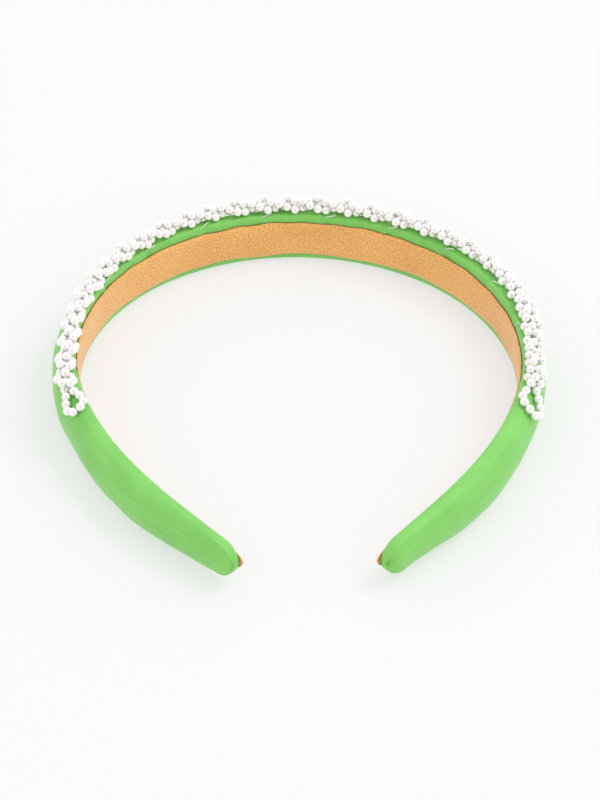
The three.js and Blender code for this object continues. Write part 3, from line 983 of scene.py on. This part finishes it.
def smooth_route(points, per_span):
    """A curve through all the points: a cubic on each span whose end slopes come from the points
    before and after, weighted by the root of their distances, which keeps it from overshooting."""
    full = np.concatenate([[2 * points[0] - points[1]], points, [2 * points[-1] - points[-2]]])
    knot = np.sqrt(np.linalg.norm(np.diff(full, axis=0), axis=1))[:, None]
    before, here, after = knot[:-2], knot[1:-1], knot[2:]
    p0, p1, p2, p3 = full[:-3], full[1:-2], full[2:-1], full[3:]
    slope1 = here * ((p1 - p0) / before - (p2 - p0) / (before + here) + (p2 - p1) / here)
    slope2 = here * ((p2 - p1) / here - (p3 - p1) / (here + after) + (p3 - p2) / after)
    t = np.linspace(0, 1, per_span, endpoint=False)[None, :, None]
    p1, p2, slope1, slope2 = (a[:, None] for a in (p1, p2, slope1, slope2))
    curve = (2 * t**3 - 3 * t**2 + 1) * p1 + (t**3 - 2 * t**2 + t) * slope1
    curve = curve + (3 * t**2 - 2 * t**3) * p2 + (t**3 - t**2) * slope2
    return np.concatenate([curve.reshape(-1, 3), points[-1:]])


def bead_places(route):
    """Centres of beads in a row: the route's length shared out evenly, about one bead each."""
    length = np.concatenate([[0], np.cumsum(np.linalg.norm(np.diff(route, axis=0), axis=1))])
    usable = length[-1] - GAP
    beads = round(usable / BEAD)
    at = GAP / 2 + usable * (np.arange(beads) + 0.5) / beads
    return np.stack([np.interp(at, length, route[:, k]) for k in range(3)], axis=-1)


routes = [
    np.concatenate([loop_points(-1, 1)[::-1], strand_points(STRAND_PHASES[0])]),
    np.concatenate([loop_points(-1, -1)[::-1], strand_points(STRAND_PHASES[1]), loop_points(1, 1)]),
    np.concatenate([strand_points(STRAND_PHASES[2]), loop_points(1, -1)]),
]
strands = [bead_places(smooth_route(points, 24)) for points in routes]
print("beads in the strands:", [len(x) for x in strands])

# %% [markdown]
# ## Letting the beads settle
#
# Real beads push each other aside, nestle into each other's gaps and lean on the satin. A short
# relaxation does the same: again and again, beads on one thread are drawn to a bead's width apart,
# any two that overlap are pushed apart, and any bead in the satin is pushed out along the nearest
# normal. It moves all beads at once, as arrays.

# %% Settling
SETTLE_STEPS = 220
HOLD = 0.06
SINK = 0.015
SHAKE = 0.12
LINK_PULL = 0.35
CLEARANCE = 0.03
NO_MATCH = 1e3
line_s = np.linspace(-PLAIT_HALF - 20, PLAIT_HALF + 20, 1361)
line_x, line_y, line_heading = band_line(line_s, LEG_RADIUS)


def push_out(beads):
    """How far each bead moves towards resting on the satin. Its centre stands at least half a bead
    from the nearest point of the section, and from above it sinks a little at each step."""
    x, y = beads[:, 0], beads[:, 1] - CROWN_Y
    nearest = np.argmin((x[:, None] - line_x) ** 2 + (y[:, None] - line_y) ** 2, axis=1)
    heading = line_heading[nearest]
    out = (x - line_x[nearest]) * np.sin(heading) + (y - line_y[nearest]) * np.cos(heading)
    up = beads[:, 2] - HALF_WIDTH
    face_d = np.linspace(-13, 17, 601)
    face_out, face_up, normal_out, normal_up = on_face(face_d)
    place = np.argmin((out[:, None] - face_out) ** 2 + (up[:, None] - face_up) ** 2, axis=1)
    height = (out - face_out[place]) * normal_out[place] + (up - face_up[place]) * normal_up[place]
    lift = np.clip(BEAD / 2 + CLEARANCE - height, -SINK, None)
    move_out, move_up = lift * normal_out[place], lift * normal_up[place]
    return np.stack([move_out * np.sin(heading), move_out * np.cos(heading), move_up], axis=-1)


def settle(strands):
    """Runs the relaxation on all strands together, and returns them with the largest overlap left."""
    rng = np.random.default_rng(5)
    counts = np.cumsum([len(x) for x in strands])[:-1]
    home = np.concatenate(strands)
    beads = home + rng.normal(0, SHAKE, home.shape)
    number = np.arange(len(home))
    strand = np.searchsorted(counts, number, side="right")
    linked = (np.abs(number[:, None] - number) == 1) & (strand[:, None] == strand)
    first, second = np.nonzero(np.triu(linked))
    for _ in range(SETTLE_STEPS):
        between = beads[:, None] - beads[None]
        distance = np.linalg.norm(between, axis=-1) + np.eye(len(beads)) * NO_MATCH
        overlap = np.where(linked, 0, np.clip(BEAD - distance, 0, None))
        beads = beads + 0.5 * np.sum(overlap[..., None] * between / distance[..., None], axis=1)
        link = beads[second] - beads[first]
        stretch = np.linalg.norm(link, axis=1, keepdims=True) - BEAD
        pull = LINK_PULL * stretch * link / (stretch + BEAD)
        np.add.at(beads, first, pull)
        np.add.at(beads, second, -pull)
        beads = beads + push_out(beads) + HOLD * (home - beads)
    return np.split(beads, counts), float(overlap.max()), float(np.abs(stretch).max())


strands, overlap_left, stretch_left = settle(strands)
print("largest overlap left", round(overlap_left, 3), "mm")
print("largest stretch left", round(stretch_left, 3), "mm")

# %% [markdown]
# ## Making the pearls
#
# A bead is repeated hundreds of times, so it has only a few dozen faces: a small ball of rings round
# its thread's direction. All beads of a strand are one array operation. Each ball is a few hundredths
# wider than the space between two, because pearls pulled tight on a thread hide their gaps. The
# thread runs through every centre, and shows as a speck of white where the string bends.

# %% Pearl strands
BEAD_SIDES = 10
BEAD_RINGS = 6
BALL_OVER_SPACING = 1.08
STRING_RADIUS, STRING_SIDES = 0.16, 5


def frames_along(points):
    """Direction of a path at each point, and two directions across it."""
    ahead = np.gradient(points, axis=0)
    ahead /= np.linalg.norm(ahead, axis=1, keepdims=True)
    across = np.cross(ahead, [0, 0, 1.0])
    across /= np.linalg.norm(across, axis=1, keepdims=True)
    return ahead, across, np.cross(ahead, across)


def ball_grid(centres, ahead, across, third):
    """Balls round many centres: latitude rings at right angles to the thread, from pole to pole."""
    latitude = np.linspace(0, np.pi, BEAD_RINGS + 1)[None, :, None, None]
    longitude = np.linspace(0, 2 * np.pi, BEAD_SIDES, endpoint=False)[None, None, :, None]
    a, b, c = (v[:, None, None] for v in (ahead, across, third))
    ring = np.sin(latitude) * (np.cos(longitude) * b + np.sin(longitude) * c)
    return centres[:, None, None] + BALL_OVER_SPACING * BEAD / 2 * (np.cos(latitude) * a + ring)


def tube(path, radius, sides):
    """A round thread: a circle carried along a path, closed at both ends by shrinking to a point."""
    ahead, across, third = frames_along(path)
    path = np.concatenate([path[:1], path, path[-1:]])
    across, third = (np.concatenate([v[:1], v, v[-1:]]) for v in (across, third))
    width = np.full(len(path), radius)
    width[[0, -1]] = 0
    angle = np.linspace(0, 2 * np.pi, sides, endpoint=False)[None, :, None]
    ring = np.cos(angle) * across[:, None] + np.sin(angle) * third[:, None]
    return path[:, None] + width[:, None, None] * ring


def pearl_run(name, centres, node):
    """One run of beads with its thread, standing for the CAD run."""
    balls = ball_grid(centres, *frames_along(centres)).reshape(-1, 3)
    string = tube(smooth_route(centres, 4), STRING_RADIUS, STRING_SIDES)
    ball = grid_faces(BEAD_RINGS + 1, BEAD_SIDES, closed=True)[:, ::-1]
    first_point = np.arange(len(centres))[:, None, None] * (BEAD_RINGS + 1) * BEAD_SIDES
    ball_faces = (first_point + ball[None]).reshape(-1, 4)
    string_faces = grid_faces(len(string), STRING_SIDES, closed=True) + len(balls)
    piece = make_piece(
        name,
        np.concatenate([balls, string.reshape(-1, 3)]),
        np.concatenate([ball_faces, string_faces]),
        [pearl, thread_material],
        face_material=np.repeat([0, 1], [len(ball_faces), len(string_faces)]),
    )
    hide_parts(node)
    return piece


for number, centres in enumerate(strands, start=1):
    piece = pearl_run(f"pearl_run_{number}", centres, f"pearl_strand_{number}")
    print(piece.name, len(centres), "beads,", len(piece.data.polygons), "faces")

# %% [markdown]
# ## Tack stitches
#
# The plait is held down by short stitches on both sides. Each is white sewing thread of two plies
# that twist round each other: it leaves the beads, runs over the satin and dives into its own
# dimple. A ply is a round tube whose middle line winds round the stitch's path.

# %% Stitches
PLY_RADIUS = 0.10
PLY_OFFSET = 0.085
PLY_TWIST = 1.1
PLY_SIDES = 6
STITCH_STEPS = 26
STITCH_LIFT, STITCH_DIVE = 0.9, 0.12


def stitch_path(s, start, finish, slack):
    """From under the beads, over the satin in a low arch, and down into the dimple."""
    along = np.linspace(0, 1, STITCH_STEPS)
    distance = start + (finish - start) * along
    arc = s + TACK_SLANT * (1 - along)
    out, up, normal_out, normal_up = on_face(distance)
    arch = slack * np.sin(np.pi * along) + STITCH_LIFT * (1 - along) ** 3
    height = THREAD / 2 + arch + relief(arc, distance) - STITCH_DIVE * along**4
    return on_band(arc, out + height * normal_out, up + height * normal_up)


def stitch(name, node, path):
    """Two plies wound round one path, standing for the CAD stitch."""
    _, across, third = frames_along(path)
    length = np.concatenate([[0], np.cumsum(np.linalg.norm(np.diff(path, axis=0), axis=1))])
    plies = []
    for half_turn in (0, np.pi):
        angle = (2 * np.pi * length / PLY_TWIST + half_turn)[:, None]
        offset = PLY_OFFSET * (np.cos(angle) * across + np.sin(angle) * third)
        plies.append(tube(path + offset, PLY_RADIUS, PLY_SIDES))
    faces = grid_faces(len(plies[0]), PLY_SIDES, closed=True)
    points = np.concatenate([p.reshape(-1, 3) for p in plies])
    faces = np.concatenate([faces, faces + len(points) // 2])
    piece = make_piece(name, points, faces, [thread_material])
    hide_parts(node)
    return piece


rng = np.random.default_rng(23)
for i, s in enumerate(tack_s):
    number = f"{i + 1:02d}"
    inner_path = stitch_path(s, inner_start[i], inner_finish[i], rng.uniform(0.05, 0.35))
    outer_path = stitch_path(s, outer_start[i], outer_finish[i], rng.uniform(0.05, 0.25))
    stitch(f"stitch_inner_{number}", f"inner_tack_{number}", inner_path)
    stitch(f"stitch_outer_{number}", f"outer_tack_{number}", outer_path)
print("stitches:", 2 * TACKS_PER_SIDE)
